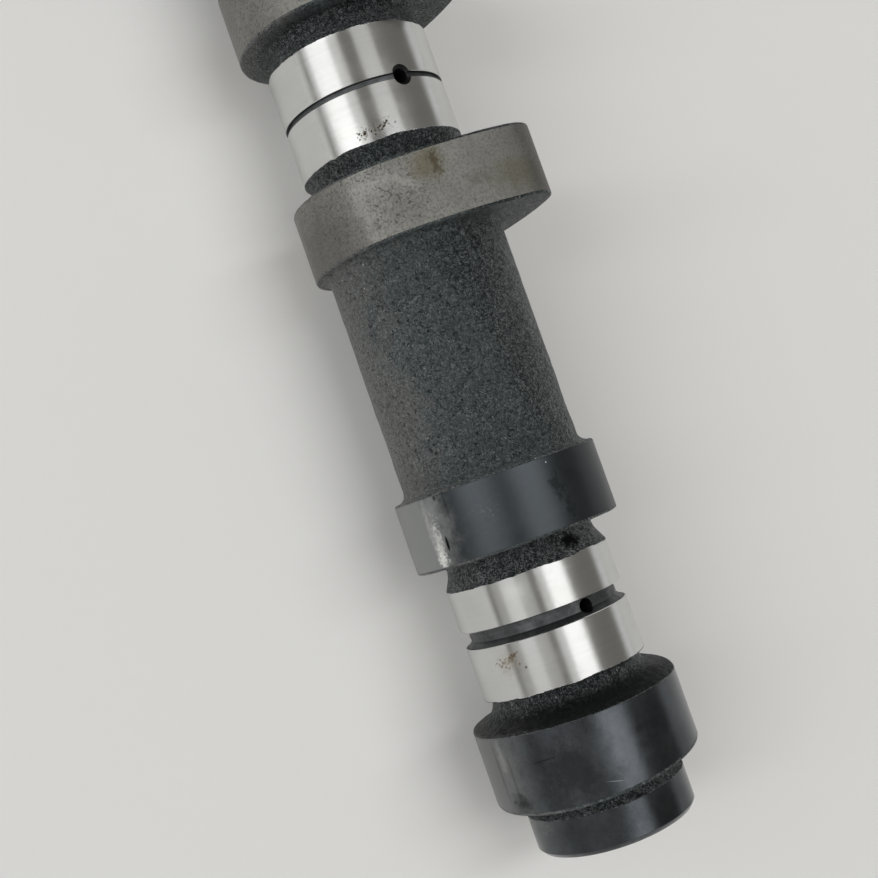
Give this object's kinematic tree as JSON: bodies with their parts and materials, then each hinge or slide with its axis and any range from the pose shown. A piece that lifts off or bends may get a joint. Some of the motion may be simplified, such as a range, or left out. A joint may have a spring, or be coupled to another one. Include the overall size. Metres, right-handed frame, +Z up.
{
  "type": "camshaft",
  "caption": "Cast iron camshaft with paired lobes beside ground journals, oil grooves, a drilled oil gallery, a drive nose and a plugged rear boss.",
  "frame": {"origin": "middle of the front journal, on the shaft's axis", "axes": "+X along the shaft's axis from the drive nose to the rear boss; +Z up with the shaft lying on its thrust flange and two of its lobes; the nose directions of the lobes stand at 45 degrees to Y and Z"},
  "size_m": [0.4035, 0.0426, 0.0426],
  "materials": {
    "cast_iron": "sand-cast between the ground journals and ground, phosphated lobes",
    "plug_steel": "plain pressed steel"
  },
  "bodies": {
    "root": {"camshaft": "cast_iron", "gallery_plug": "plug_steel"}
  },
  "joints": []
}
